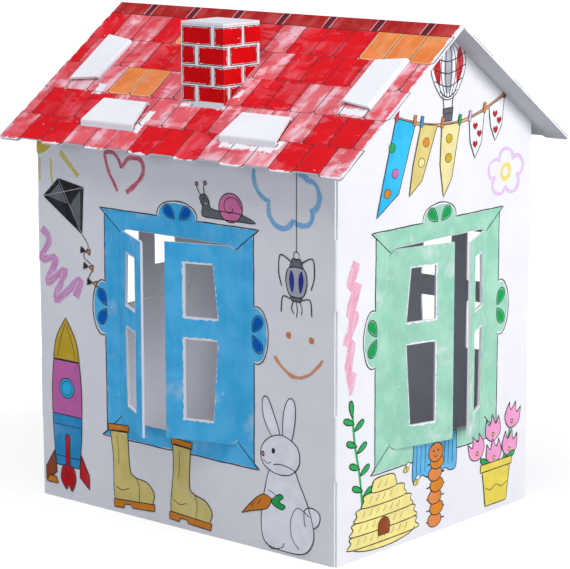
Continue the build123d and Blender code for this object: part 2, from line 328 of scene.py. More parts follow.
# Print materials read a pigment from the mesh, and its load as the fourth part
def printed():
    return objectPlace(), step("VertexColor", {}, layer_name="Tint").outputs


def flow():
    return step("UVMap", {}, uv_map="Flow").outputs[0]


printLook = {
    "brush": (60, 9, 1), "worn": ((60, 3), (0.30, 0.75, 0, 0.04)), "streak": (26, 5, 0), "tooth": (420, 2, 0.7),
    "border": (0.72, 0.98, 1, 0), "streakShare": 0.75, "wax": (0.34, 0.56, 0.35, 1),
}
washMaterial, shader = shade("printedWash")
place, tint = printed()
brush = stretch(flow(), printLook["brush"])
painted = use(washGroup, Place=place, Stroke=brush, Pigment=tint["Color"], Load=tint["Alpha"])
put(painted["Colour"], shader["Base Color"])
cardUnder(shader, place)

inkMaterial, shader = shade("printedLine", 0.5)
place, tint = printed()
put(blend(mask(place, *printLook["worn"]), tint["Color"], colour["card"]), shader["Base Color"])

crayonMaterial, shader = shade("waxCrayon")
place, tint = printed()
streak = grain(stretch(flow(), printLook["streak"]), 1, 3, 0.7)
tooth = grain(place, *printLook["tooth"])
border = ease(plus(absolute(split(flow())[1]), timesPlus(tooth, 0.5, -0.25)), *printLook["border"])
wax = ease(blendValue(printLook["streakShare"], tooth, streak), *printLook["wax"])
cover = times(times(wax, border), tint["Alpha"])
put(blend(cover, cardUnder(shader, place), tint["Color"]), shader["Base Color"])
printMaterials = {"wash": washMaterial, "line": inkMaterial, "crayon": crayonMaterial}


# Where print lies: from millimetres across, up and out to the scene
def facing(origin, along, out):
    along, out = Vector(along), Vector(out)
    spot = Matrix((along, out.cross(along), out)).transposed().to_4x4()
    spot.translation = Vector(origin)
    return Matrix.Scale(mm, 4) @ spot


# Four upright faces round a middle, as seen from outside
def fourSides(x, y, wide, deep, edge=0):
    return {
        "front": facing((x - wide * edge, y - deep / 2, 0), (1, 0, 0), (0, -1, 0)),
        "right": facing((x + wide / 2, y - deep * edge, 0), (0, 1, 0), (1, 0, 0)),
        "back": facing((x + wide * edge, y + deep / 2, 0), (-1, 0, 0), (0, 1, 0)),
        "left": facing((x - wide / 2, y + deep * edge, 0), (0, -1, 0), (-1, 0, 0)),
    }


walls = fourSides(0, house["ridgeY"], house["length"], house["depth"])
inkTint = (*colour["ink"], 1)


# Print on one wall gathers in a sheet, each shape a hair above the one before
def newSheet(name, spot):
    bm = bmesh.new()
    return {"name": name, "spot": spot, "lift": 0.14, "base": 0.2, "bm": bm,
            "tint": bm.loops.layers.float_color.new("Tint"), "flow": bm.loops.layers.uv.new("Flow")}


def corner(sheet, point, rise=0):
    return sheet["bm"].verts.new(sheet["spot"] @ Vector((point[0], point[1], sheet["lift"] + rise)))


def finishFaces(sheet, faces, kind, tint):
    out = (sheet["spot"].to_3x3() @ Vector((0, 0, 1))).normalized()
    for face in faces:
        face.normal_update()
        if face.normal.dot(out) < 0:
            face.normal_flip()
        face.material_index = list(printMaterials).index(kind)
        for loop in face.loops:
            loop[sheet["tint"]] = tint
    sheet["lift"] += 0.02


# A closed area, with holes
def fillArea(sheet, outline, tint, holes=(), kind="wash"):
    bm, edges = sheet["bm"], []
    for ring in (outline, *holes):
        ends = [corner(sheet, point) for point in ring]
        edges += [bm.edges.new((ends[i - 1], ends[i])) for i in range(len(ends))]
    made = bmesh.ops.triangle_fill(bm, use_beauty=True, use_dissolve=False, edges=edges)
    faces = [item for item in made["geom"] if isinstance(item, bmesh.types.BMFace)]
    finishFaces(sheet, faces, kind, tint)
    back = sheet["spot"].inverted()
    middle = sum((Vector(point) for point in outline), Vector((0, 0))) / len(outline)
    for loop in (loop for face in faces for loop in face.loops):
        place = (back @ loop.vert.co).xy
        if kind == "crayon":  # slanting strokes side by side
            slant = place - middle
            loop[sheet["flow"]].uv = ((slant.y + 0.3 * slant.x) * mm, (slant.x - 0.3 * slant.y) / 50)
        else:
            loop[sheet["flow"]].uv = place * mm


# A line of some width through the points
def strokeLine(sheet, points, width, tint=inkTint, kind="line", closed=False, vary=0.25):
    points = [Vector(point) for point in points]
    count = len(points)
    left, right, run, runs, faces = [], [], 0, [], []
    for i, point in enumerate(points):
        before = points[i - 1] if i or closed else point
        after = points[(i + 1) % count] if i + 1 < count or closed else point
        heading = (after - before).normalized()
        swing = noise.noise(Vector((point.x * 0.05, point.y * 0.05, width)))
        arm = Vector((-heading.y, heading.x)) * width / 2 * (1 + vary * swing)
        run += (point - points[i - 1]).length if i else 0
        runs.append(run)
        left.append(corner(sheet, point + arm, i * 0.001))
        right.append(corner(sheet, point - arm, i * 0.001))
    for i in range(count if closed else count - 1):
        j = (i + 1) % count
        face = sheet["bm"].faces.new((left[i], left[j], right[j], right[i]))
        stop = runs[j] if j else run + (points[0] - points[-1]).length
        for loop, place, across in zip(face.loops, (runs[i], stop, stop, runs[i]), (1, 1, -1, -1)):
            loop[sheet["flow"]].uv = (place * mm, across)
        faces.append(face)
    finishFaces(sheet, faces, kind, tint)


# A painted shape with its black outline, the paint a little off the line
def drawShape(sheet, outline, name, line=None, slip=0.8):
    painted = jitter([(x + slip * 0.4, y - slip * 0.3) for x, y in inset(outline, slip)], 0.5)
    fillArea(sheet, painted, tint[name])
    strokeLine(sheet, outline, line or pen["shape"], closed=True)


def finishSheet(sheet):
    mesh = bpy.data.meshes.new(sheet["name"])
    sheet["bm"].to_mesh(mesh)
    sheet["bm"].free()
    piece = newObject(sheet["name"], mesh)
    for material in printMaterials.values():
        mesh.materials.append(material)
    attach(piece, "root")
    print("printed", sheet["name"], len(mesh.polygons))


# Points written as "x,y x,y*", where the star gives a point twice
def path(text):
    points = []
    for pair in text.split():
        x, y = pair.rstrip("*").split(",")
        points += [(float(x), float(y))] * (2 if "*" in pair else 1)
    return points


# The same outline with an unsteady hand
def jitter(points, amount, scale=0.09, seed=0):
    return [(x + amount * noise.noise(Vector((x * scale, y * scale, seed + 3))) * 2,
             y + amount * noise.noise(Vector((x * scale, y * scale, seed + 9))) * 2) for x, y in points]


# Adds points so that none lie further apart than the gap
def closeSpaced(points, gap=4, closed=True):
    spaced = []
    count = len(points)
    for i in range(count if closed else count - 1):
        first, last = Vector(points[i]), Vector(points[(i + 1) % count])
        steps = max(1, int((last - first).length / gap))
        spaced += [tuple(first.lerp(last, share / steps)) for share in range(steps)]
    return spaced if closed else spaced + [tuple(points[-1])]


def area(points):
    return sum(a[0] * b[1] - b[0] * a[1] for a, b in zip(points, points[1:] + points[:1])) / 2


# Moves an outline inwards
def inset(points, amount):
    sign = 1 if area(points) > 0 else -1
    moved = []
    for i, point in enumerate(points):
        before, after = Vector(points[i - 1]), Vector(points[(i + 1) % len(points)])
        heading = (after - before).normalized() * sign
        moved.append((point[0] - heading.y * amount, point[1] + heading.x * amount))
    return moved


# A smooth line through the points; a point given twice is a corner
def curve(points, closed=True, steps=6):
    points = [Vector(point) for point in points]
    count, smooth = len(points), []
    for i in range(count if closed else count - 1):
        near = [(i + k) % count if closed else min(max(i + k, 0), count - 1) for k in (-1, 0, 1, 2)]
        a, b, c, d = (points[k] for k in near)
        if (b - c).length < 1e-6:
            continue
        for t in (k / steps for k in range(steps)):
            smooth.append(tuple(0.5 * (2 * b + (c - a) * t + (2 * a - 5 * b + 4 * c - d) * t * t
                                       + (3 * b - a - 3 * c + d) * t ** 3)))
    return smooth if closed else smooth + [tuple(points[-1])]


# A point of a motif turned by an angle and moved to x, y
def turned(px, py, x, y, turn):
    return x + px * cos(turn) - py * sin(turn), y + px * sin(turn) + py * cos(turn)


def oval(x, y, wide, high=None, turn=0, count=28, start=0, sweep=360):
    ring = []
    for i in range(count):
        angle = radians(start + sweep * i / (count if sweep == 360 else count - 1))
        ring.append(turned(wide * cos(angle), (high or wide) * sin(angle), x, y, radians(turn)))
    return ring


# Corner by corner from the lower left, anticlockwise
def roundedBox(low, high, radius, corners=(True, True, True, True)):
    (x0, y0), (x1, y1) = low, high
    ring = []
    for (x, y), start, isRound in zip(((x0, y0), (x1, y0), (x1, y1), (x0, y1)), (180, 270, 0, 90), corners):
        inX, inY = (radius if x == x0 else -radius), (radius if y == y0 else -radius)
        ring += oval(x + inX, y + inY, radius, count=6, start=start, sweep=90) if isRound else [(x, y)]
    return ring


# A teardrop, its point at x, y
def drop(x, y, long, wide, turn):
    ring = []
    for i in range(24):
        angle = tau * i / 24
        spread = wide / 2 * sin(angle) * sin(angle / 2) ** 0.8
        ring.append(turned(long * (1 - cos(angle)) / 2, spread, x, y, radians(turn)))
    return ring


# CAD nodes keep their meshes and take these materials
for node, material in (("wall_sheet", cardMaterial), ("chimney", chimneyMaterial), ("roof_sheet", roofMaterial)):
    for place in bpy.data.objects[node].material_slots:
        place.material = material
print("card nodes dressed")

# Window and door frames: painted bars with a crest and two side lobes, all with outlines; the slit is the
# cut left open below the leaves. Ovals are given by shift, half sizes, start and sweep
paints = {name: (*colour[name], load)
          for name, load in (("blue", 0.91), ("deepBlue", 1), ("green", 0.84), ("deepGreen", 1))}
window = {"middle": -5, "low": 198, "high": 595, "half": 161, "slit": 1.2, "lobes": True,
          "paint": "blue", "deep": "deepBlue"}
greenWindow = {**window, "middle": 3.5, "paint": "green", "deep": "deepGreen"}
openings = {
    "front": window,
    "right": greenWindow,
    "left": {**greenWindow, "middle": 11, "low": 370.5, "slit": 0.1, "lobes": False},
    "back": {**window, "middle": -220.5, "low": 44, "high": 600, "half": 131, "slit": 0.1, "lobes": False},
}
bars = {"side": 53, "inner": 39, "top": 38, "foot": 39.5, "rim": 2.6, "round": 26, "wallEnd": -394,
        "lobe": (8, 30, 29, 57, 104, -208), "crest": (0, 5, 54, 29, 190, -200), "drop": 30}
pen = {"frame": 2.3, "corner": 2.1, "drop": 2, "shape": 2.1, "brick": 1.5, "motif": 1.2}


def frameOutline(opening, margin):
    horn, edge = (opening["half"] + bars[name] for name in ("side", "inner"))
    top, foot = opening["high"] + bars["top"], opening["low"] - bars["foot"]

    def bulge(name, x, y):
        shiftX, shiftY, wide, high, start, sweep = bars[name]
        return oval(x + shiftX, y + shiftY, wide - margin, high - margin, count=23, start=start, sweep=sweep)

    right = [(horn, top), (edge, top - 11)]
    if opening["lobes"]:
        right += bulge("lobe", edge, (opening["low"] + opening["high"]) / 2)
    right += [(edge, foot + 10), (horn, foot)]
    ring = bulge("crest", 0, top) + right + [(-x, y) for x, y in right[::-1]]
    return closeSpaced([(max(x + opening["middle"], bars["wallEnd"]), y) for x, y in ring], 6)


def paintFrame(sheet, opening):
    middle, half, low, high = (opening[name] for name in ("middle", "half", "low", "high"))
    hole = roundedBox((middle - half, low - opening["slit"]), (middle + half, high + 1.2), bars["round"])
    paint = jitter(inset(frameOutline(opening, bars["rim"]), 1.6), 1.2, 0.06, 4)
    fillArea(sheet, paint, paints[opening["paint"]], [closeSpaced(hole, 5)])
    strokeLine(sheet, jitter(frameOutline(opening, 0), 0.5, 0.03), pen["frame"], closed=True)
    for side in (1, -1):
        for edge, inner, y in ((high + bars["top"], half - 6, high - 7), (low - bars["foot"], half - 4, low + 9)):
            ends = [(max(middle + side * (half + bars["side"]), bars["wallEnd"]), edge), (middle + side * inner, y)]
            strokeLine(sheet, jitter(closeSpaced(ends, 8, False), 0.6), pen["corner"])
    drops = [(side * 6.5, high + 36, 37, 90 - side * 50) for side in (1, -1)]
    drops += [(side * (half + 36), (low + high) / 2 + 32 + up * 3.5, 38, 90 - side * (90 - up * 56))
              for side in (1, -1) for up in (1, -1) if opening["lobes"]]
    for x, y, long, turn in drops:
        shape = drop(x + middle, y, long, bars["drop"], turn)
        fillArea(sheet, jitter(inset(shape, 2.2), 0.5), paints[opening["deep"]])
        strokeLine(sheet, shape, pen["drop"], closed=True)
    sheet["base"] = sheet["lift"]


# Pane corners of a shutter: each pane is widest beside the crossbar
def shutterPanes(*spans, free=115, wide=44.5, narrow=55):
    crossbar = sum(spans[0] + spans[-1]) / 4
    return [((narrow if high < crossbar else wide, low), (free, low), (free, high),
             (wide if high < crossbar else narrow, high)) for low, high in spans]


# Leaves, with the bare rims of their panes at the free edge, at the fold and at both ends. Each is followed by
# the fold's place and the swing in degrees, positive where the fold is on the left
shutter = {"foot": 198, "wide": 161, "high": 397, "rims": (3.2, 1.8, 3.4),
           "panes": shutterPanes((44, 204.5), (249.5, 355.5))}
blueShutter = {**shutter, "wall": "front", "paint": "blue"}
greenShutter = {**shutter, "wall": "right", "paint": "green"}
lowShutter = {**greenShutter, "wall": "left", "foot": 370.5, "high": 224.5, "panes": shutterPanes((72.5, 182.5))}
doorPanes = []
for low, high, lowSlant, highSlant in ((256, 358, 7, 0), (402, 508, 0, 7)):
    doorPanes.append(((33 + lowSlant, low), (111, low), (111, high), (33 + highSlant, high)))
    doorPanes.append(((151, low), (229 - lowSlant, low), (229 - highSlant, high), (151, high)))
door = {"wall": "back", "foot": 44, "wide": 262, "high": 556, "rims": (3, 3, 3.4), "panes": doorPanes,
        "paint": "blue"}
leaves = {
    "blue_shutter_left": (blueShutter, -166, 30.5),
    "blue_shutter_right": ({**blueShutter, "rims": (6.5, 0.6, 3.8)}, 156, -16.3),
    "green_shutter_near": (greenShutter, -157.5, 15.5),
    "green_shutter_far": (greenShutter, 164.5, -24.5),
    "low_shutter_far": (lowShutter, -150, 1.5),
    "low_shutter_near": (lowShutter, 172, -24.5),
    "door_paint": (door, -89.5, -1.5),
}
for name, (leaf, hinge, swing) in leaves.items():
    side, wide, high = copysign(1, swing), leaf["wide"], leaf["high"]
    spot = walls[leaf["wall"]] @ Matrix.Translation((hinge, leaf["foot"], 0))
    sheet = newSheet(name, spot @ Matrix.Rotation(-radians(swing), 4, "Y"))
    ends = ((-1.4, 0.4), (wide - 0.6, high - 0.4)) if side > 0 else ((0.6 - wide, 0.4), (1.4, high - 0.4))
    corners = (True, False, False, True) if side > 0 else (False, True, True, False)
    outline = jitter(inset(closeSpaced(roundedBox(*ends, bars["round"], corners), 3), 0.5), 0.5, 0.22)
    holes = []
    free, fold, end = leaf["rims"]
    for pane in leaf["panes"]:
        x0, y0 = (sum(point[k] for point in pane) / 4 for k in (0, 1))
        ring = [(side * (x + (free if x > x0 else -fold)), y + (end if y > y0 else -end)) for x, y in pane]
        holes.append(jitter(closeSpaced(ring, 3), 1.5, 0.17, hinge))
    fillArea(sheet, outline, paints[leaf["paint"]], holes)
    finishSheet(sheet)
print("shutters painted")

# Tints of the drawings as screen colours, and the load of their paint
screenTints = {
    "yellow": "dec446", "gold": "ceac28", "heart": "cd3c5c", "mauve": "d88cc8", "sky": "68b0e2",
    "orange": "da884a", "pink": "e8a0ba", "lilac": "debae6", "lemon": "ecd854", "black": "1a1a1e",
    "grey": "686a70", "paleGrey": "b0b2ba", "rose": "e278aa", "magenta": "ce6ab0", "navy": "282e8c",
    "red": "ce161e", "azure": "2896d2", "mustard": "e0ce7c", "amber": "de8622", "brown": "964a24",
    "cream": "f0e2a0", "cyan": "2cbef0", "leaf": "1eaa54", "ginger": "e28842", "straw": "f8e892",
    "blossom": "f4a0ce", "white": "f4f6fc", "tan": "e2aa78", "bib": "60b8e8",
}
paintLoad = 0.96
tint = {name: (*(((value / 255 + 0.055) / 1.055) ** 2.4 for value in bytes.fromhex(screen)), paintLoad)
        for name, screen in screenTints.items()}
tint["ink"] = inkTint


def crayon(sheet, points, width, name, closed=False):
    strokeLine(sheet, jitter(points, 0.8, 0.05), width, (*tint[name][:3], 1), "crayon", closed, 0.5)


# Front wall: sun with rays, then heart, zigzag and cloud, by the width and tint of the crayon, and a smile
front = newSheet("front_print", walls["front"])
sun = [(max(x, -398.6), y) for x, y in oval(-396, 776, 49, 49, start=180, sweep=180)]  # ends at the wall's edge
fillArea(front, jitter(sun, 0.8), tint["yellow"])
for ray, width in (("-389.5,718 -391,672", 6), ("-359,719 -354,667", 6), ("-330,736 -278,690", 12)):
    crayon(front, closeSpaced(path(ray), 6, False), width, "yellow")
crayonLines = {
    (9, "heart"): ["-202,744 -199,728 -191,709 -177,687 -166,671"],
    (11, "heart"): ["-202,743 -192,749 -176,747 -164,736 -155,719"],
    (12, "heart"): ["-155,719 -141,736 -124,743 -103,740 -94,725 -97,710 -114,691 -143,670"],
    (19, "mauve"): ["-388,572 -366,549 -388,510 -349,510 -374,458 -321,490 -350,424 -279,474 -291,438"],
    (12, "sky"): [
        "198,750 196,740 198,724 209,706 224,695 236,692", "235,694 233,679 236,664 249,649 268,643 284,648 296,662",
        "296,660 304,655 318,653 331,656 341,666 343,677 339,686",
        "336,682 349,687 357,700 358,718 352,732 343,739 332,739", "332,738 327,744 318,749 308,752"],
}
for (width, name), lines in crayonLines.items():
    for line in lines:
        crayon(front, curve(path(line), False), width, name)
for x, y in ((283.6, 438.4), (340.6, 434.9)):
    fillArea(front, jitter(oval(x, y, 7), 1), tint["orange"])
crayon(front, curve(path("249,392 268,372 296,359 326,364 352,382 368,402"), False), 8, "orange")
paintFrame(front, openings["front"])


# Motifs drawn round their own middle in millimetres, then set in place
def placed(points, x, y, size=1, turn=0):
    c, s = cos(radians(turn)) * size, sin(radians(turn)) * size
    return [(x + px * c - py * s, y + px * s + py * c) for px, py in points]


# Parts of a motif: smooth and straight lines, then areas with an outline and without
def curl(text, width=1.4, name="ink"):
    return "line", curve(path(text), False), name, width


def bar(text, width=1.3, name="ink"):
    return "line", path(text), name, width


def blob(text, name):
    return "shape", curve(path(text)), name


def slab(text, name, gap=6):
    return "shape", closeSpaced(path(text), gap), name


def patch(text, name):
    return "fill", curve(path(text)), name


# A part of a motif and its mirror image
def mirrored(part):
    kind, points, *rest = part
    return [part, (kind, [(-x, y) for x, y in points], *rest)]


def drawMotif(sheet, motif, x, y, size=1, turn=0):
    sheet["lift"] = sheet["base"]
    for kind, points, name, *width in motif:
        points = placed(points, x, y, size, turn)
        if kind == "shape":
            drawShape(sheet, points, name)
        elif kind == "fill":
            fillArea(sheet, jitter(points, 0.4), tint[name])
        else:
            strokeLine(sheet, points, width[0] * pen["motif"], tint[name])


kite = [
    curl("48,-46 66,-70 52,-92 78,-112 66,-138 96,-152", 1.5),
    slab("-62,22 -18,62 54,50 48,-46", "black"),
    ("fill", path("-50,22 -16,52 8,12"), "grey"),
    ("fill", path("46,44 44,-34 14,8"), "grey"),
    bar("-18,62 48,-46", 1.2, "paleGrey"),
    bar("-62,22 54,50", 1.2, "paleGrey"),
]
for bx, by in ((58, -80), (66, -112), (76, -144)):
    kite += [slab(f"{bx},{by} {bx - 13},{by + 8} {bx - 15},{by - 6}", "black", 5),
             slab(f"{bx},{by} {bx + 14},{by + 5} {bx + 12},{by - 8}", "orange", 5)]
drawMotif(front, kite, -318, 618)

spiral = [(10 + (30 - 3.1 * k) * cos(k * 0.8), 20 + (28 - 2.9 * k) * sin(k * 0.8)) for k in range(9)]
snail = [
    blob("-72,0 -70,16 -78,34 -64,42 -52,30 -46,14 -20,10 30,10 62,2 78,-6 40,-7 -40,-7 -66,-6", "grey"),
    ("shape", oval(10, 20, 33, 31), "rose"),
    ("line", curve(spiral, False), "ink", 1.5),
    curl("-74,38 -84,52 -86,60"),
    curl("-64,42 -66,56 -62,64"),
    ("shape", oval(-86, 62, 4), "rose"), ("shape", oval(-62, 66, 4), "rose"),
    ("fill", oval(-66, 32, 2.2), "black"),
    curl("-76,24 -70,20 -64,22", 1.1),
]
drawMotif(front, snail, 128, 650, 0.92)

lantern = [
    bar("0,232 0,52"),
    ("line", oval(0, 46, 7, 8), "ink", 1.3),
    slab("-17,24 17,24 10,40 -10,40", "grey", 5),
    blob("-17,22 -26,4 -24,-16 -14,-32 14,-32 24,-16 26,4 17,22", "paleGrey"),
    *mirrored(patch("-13,18 -18,2 -16,-14 -10,-26 -6,-14 -6,6", "navy")),
    slab("-15,-34 15,-34 11,-42 -11,-42", "grey", 5),
    *mirrored(curl("-14,34 -40,44 -44,10 -36,-16", 2)),
    *mirrored(curl("-15,-38 -34,-36 -38,-66", 2)),
    curl("-8,-43 -12,-56 -6,-66", 1.6),
    curl("0,-43 2,-60 0,-72", 1.3),
    curl("8,-43 14,-54 12,-66", 1.3),
]
drawMotif(front, lantern, 303, 548)

rocket = [
    slab("-38,-118 -66,-160 -66,-190 -34,-168", "brown"),
    slab("38,-118 62,-160 62,-190 34,-168", "red"),
    blob("-34,-150 -40,-96 -43,-40* 43,-40* 40,-96 34,-150* -34,-150", "azure"),
    blob("-43,-40* -43,20 -38,76* 38,76* 43,20 43,-40*", "magenta"),
    blob("-38,78* -28,124 0,168* 28,124 38,78*", "gold"),
    curl("-26,84 -16,120 -2,154", 1.3),
    curl("26,84 17,118 3,150", 1.3),
    ("shape", oval(0, 18, 21), "cyan"), ("line", oval(0, 18, 15), "ink", 1.2),
    bar("-42,-62 42,-62"), bar("-38,-130 38,-130"),
    blob("-13,-150 -22,-178 -6,-200 0,-188 10,-202 22,-176 13,-150", "red"),
    slab("-6,-82 6,-82 6,-170 -6,-170", "red"),
    slab("-64,-192 -30,-192 -36,-178 -58,-178", "amber"),
]
drawMotif(front, rocket, -322, 222)

boot = [
    blob("-34,84* -30,30 -34,-34 -32,-56* 70,-56* 76,-34 58,-14 26,-6 14,10 14,84*", "mustard"),
    slab("-37,82 17,82 18,96 -38,96", "amber"),
    slab("-36,-56 76,-56 74,-70 14,-70 10,-64 -6,-64 -10,-72 -36,-72", "amber"),
    curl("30,-8 36,-26 34,-54", 1.3),
    curl("-28,-30 -10,-36 8,-30", 1.3),
    curl("-16,74 -14,40 -16,16", 1.1),
]
drawMotif(front, boot, -156, 88, 1.04, 4)
drawMotif(front, boot, 8, 86, 1.02, -3)

rabbit = [
    blob("-18,58 -44,96 -48,132 -36,138 -22,112 -6,70", "white"),
    blob("2,68 2,112 14,142 28,138 30,106 20,64", "white"),
    blob("56,-92 82,-84 88,-62 70,-52 52,-60", "white"),
    blob("-24,12 -44,-40 -52,-100 -40,-138 10,-146 54,-140 74,-108 64,-60 40,-12 24,12", "white"),
    blob("0,72 -34,62 -52,38 -46,12 -16,-2 20,2 40,26 34,56", "white"),
    curl("64,-70 36,-58 20,-82 22,-116 40,-136", 1.5),
    curl("-40,-136 -26,-146 -2,-140 4,-130", 1.5),
    curl("-34,-36 -16,-44 -8,-64"),
    ("fill", oval(-22, 40, 4, 5.5), "black"),
    blob("-52,30 -46,26 -44,32 -48,35", "rose"),
    curl("-46,20 -36,14 -28,18", 1.2),
    blob("-26,-52* -44,-46 -66,-58 -100,-92* -78,-84 -38,-72", "amber"),
    bar("-52,-56 -60,-68", 1.2), bar("-70,-66 -76,-76", 1.2),
    blob("-26,-54 -8,-40 2,-44 -8,-54 6,-60 -2,-68 -22,-62", "leaf"),
]
drawMotif(front, rabbit, 268, 162, 1.06)
finishSheet(front)

gable = newSheet("gable_print", walls["right"])
scribble = path("-264,589 -242,580 -251,564 -260,548 -240,541 -244,524 -253,503 -259,494 -246,484 -250,471 "
                "-265,445 -268,440 -257,430 -262,408 -266,389 -268,377 -250,369 -255,352 -267,331 -276,332 "
                "-281,356 -288,375 -290,393 -283,415 -280,424 -295,432 -292,444 -281,465 -277,476 -286,489 "
                "-282,507 -270,528 -286,542 -286,552 -278,568")
fillArea(gable, jitter(closeSpaced(scribble, 4), 1.6, 0.3), tint["pink"], (), "crayon")


# A flower in wax crayon, five round petals about a ring
def crayonFlower(sheet, x, y):
    for k in range(5):
        angle = radians(90 + 72 * k)
        spot = (cos(angle) * 37 + x, sin(angle) * 27 + y)
        petal = oval(*spot, 24, 21, count=16, start=degrees(angle) - 105, sweep=210)
        crayon(sheet, petal, 9, "lilac")
    crayon(sheet, oval(x, y, 14, 14, count=18), 11, "lemon", True)


crayonFlower(gable, 224, 702)
paintFrame(gable, openings["right"])

balloon = [
    blob("0,54 -32,44 -48,16 -42,-14 -16,-46 16,-46 42,-14 48,16 32,44", "white"),
    patch("-30,38 -42,14 -36,-10 -24,-24 -22,10", "red"),
    patch("-8,46 -12,10 -8,-34 8,-34 12,10 8,46", "paleGrey"),
    patch("30,38 42,14 36,-10 24,-24 22,10", "red"),
]
balloon += [curl(f"0,54 {x * 0.8},30 {x},-8 {x * 0.4},-46", 1.8) for x in (-32, -20, -8, 8, 20, 32)]
balloon += [curl(f"{-half},{y} 0,{y - 12} {half},{y}", 1.8) for half, y in ((44, 26), (47, 6), (38, -16), (24, -34))]
balloon += [
    *mirrored(bar("-14,-46 -11,-66", 1.8)),
    slab("-14,-64 14,-64 11,-86 -11,-86", "grey", 5),
    bar("-13,-73 13,-73", 1.4),
]
drawMotif(gable, balloon, 26, 924, 1.16)

rope = curve(path("-146,850 -100,836 -31,822 40,818 100,824 160,840 226,866"), False, 10)
strokeLine(gable, rope, 6, tint["tan"], "wash")
for up in (3, -3):
    strokeLine(gable, [(x, y + up) for x, y in rope], 1.2)
flags = [
    ("-138,846 -78,830 -128,700 -196,660 -172,740", "cyan"),
    ("-60,826 -8,820 -56,716 -96,690 -84,750", "mustard"),
    ("6,818 66,818 40,710 14,676 2,740", "cream"),
    ("96,822 146,834 138,772 116,742 100,776", "white"),
    ("162,840 214,858 206,800 184,770 168,800", "white"),
]
for outline, name in flags:
    drawShape(gable, closeSpaced(path(outline), 7), name)
for x, y, name in ((-150, 790, "leaf"), (-140, 740, "magenta"), (-164, 704, "amber"), (-44, 790, "amber"),
                   (-58, 752, "cream"), (30, 790, "gold"), (28, 752, "gold")):
    drawShape(gable, oval(x, y, 10, 9, count=16), name, 1.2)
heart = curve(path("0,-8* -8,0 -5,7 0,3* 5,7 8,0"))
for x, y in ((116, 806), (130, 790), (116, 770), (182, 824), (196, 810), (184, 792)):
    drawShape(gable, placed(heart, x, y, 0.9), "red", 1.1, 0.4)
for x, y, name in ((-136, 848, "heart"), (-80, 834, "orange"), (-58, 830, "azure"), (8, 822, "orange"),
                   (64, 822, "leaf"), (98, 826, "lilac"), (146, 838, "amber"), (214, 862, "brown")):
    peg = placed(path("-4,-9 4,-9 4,12 -4,12"), x, y, 1, -12)
    drawShape(gable, closeSpaced(peg, 4), name, 1.1, 0.4)

sprig = [curl("26,-110 16,-30 0,40 -8,100", 4.5, "leaf")]
for k in range(4):
    px, py = 24 - 9 * k, -70 + 46 * k
    sprig += [("shape", drop(px, py, 34, 15, 30), "leaf"), ("shape", drop(px, py + 14, 34, 15, 158), "leaf")]
sprig += [("shape", drop(-8, 96, 34, 16, 100), "leaf")]
drawMotif(gable, sprig, -258, 190)
hive = [("shape", oval(0, 0, 104, 22), "straw")]
for k, half in enumerate((100, 94, 82, 62, 34)):
    low = 26 * k - 8
    hive += [blob(f"{-half},{low} {-half - 3},{low + 14} {8 - half},{low + 27} "
                  f"{half - 8},{low + 27} {half + 3},{low + 14} {half},{low}", "straw")]
    hive += [curl(f"{x + 14},{low + 8} {x + 20},{low + 14} {x + 22},{low + 20}", 1)
             for x in range(-half, half - 41, 22)]
hive += [blob("-17,4 -17,28 0,40 17,28 17,4* -17,4", "brown")]
drawMotif(gable, hive, -168, 30, 0.98)
for x, y in ((-98, 148), (-66, 116)):
    drawShape(gable, oval(x + 5, y + 8, 7, 5, 40), "white", 1.1, 0.3)
    drawShape(gable, oval(x, y, 8, 5.5, 15), "lemon", 1.1, 0.3)
    strokeLine(gable, [(x + 1, y + 5), (x + 2, y - 5)], 1.6)

awning = [blob("-70,40* -74,-34 -58,-40 -42,-32 -24,-40 -4,-32 14,-40 32,-32 50,-40 70,-32 70,40*", "bib")]
awning += [bar(f"{x},30 {x - 2},-26", 1.4) for x in (-60, -46, -32, 32, 44, 58)]
drawMotif(gable, awning, -3, 158)
crawler = []
for k in range(6):
    crawler += [bar(f"-33,{27 * k - 64} 33,{27 * k - 62}", 2.4),
                ("shape", oval((-3, 4)[k % 2], 27 * k - 62, 25, 17), ("ginger", "amber")[k % 2])]
crawler += [("shape", oval(0, 96, 27, 22), "ginger"),
            *mirrored(curl("-8,114 -14,126 -22,130")),
            ("fill", oval(-8, 100, 2.6), "black"), ("fill", oval(8, 100, 2.6), "black"),
            curl("-8,90 0,85 8,90", 1.3)]
drawMotif(gable, crawler, -1, 80, 0.88)

pot = []
bloom = curve(path("-14,20* -17,-2 0,-14 17,-2 14,20* 7,10 0,24* -7,10"))
for px, py, turn in ((-66, 54, 26), (-12, 84, 4), (54, 100, -22), (46, 42, -14), (-8, 34, 8)):
    pot += [curl(f"{px * 0.3},0 {px * 0.7},{py * 0.5} {px},{py}", 4, "leaf"),
            ("shape", placed(bloom, px, py, 1.5, turn), "blossom"),
            ("shape", placed(oval(0, -6, 4), px, py), "lemon")]
pot += [("shape", drop(-6, 4, 56, 17, 150), "leaf"), ("shape", drop(10, 4, 60, 17, 24), "leaf"),
        slab("-48,4 48,4 36,-70 -36,-70", "lemon", 7),
        slab("-54,4 54,4 54,20 -54,20", "lemon", 7),
        curl("-38,-30 -20,-38 0,-30 20,-38 38,-30")]
drawMotif(gable, pot, 205, 84)
finishSheet(gable)

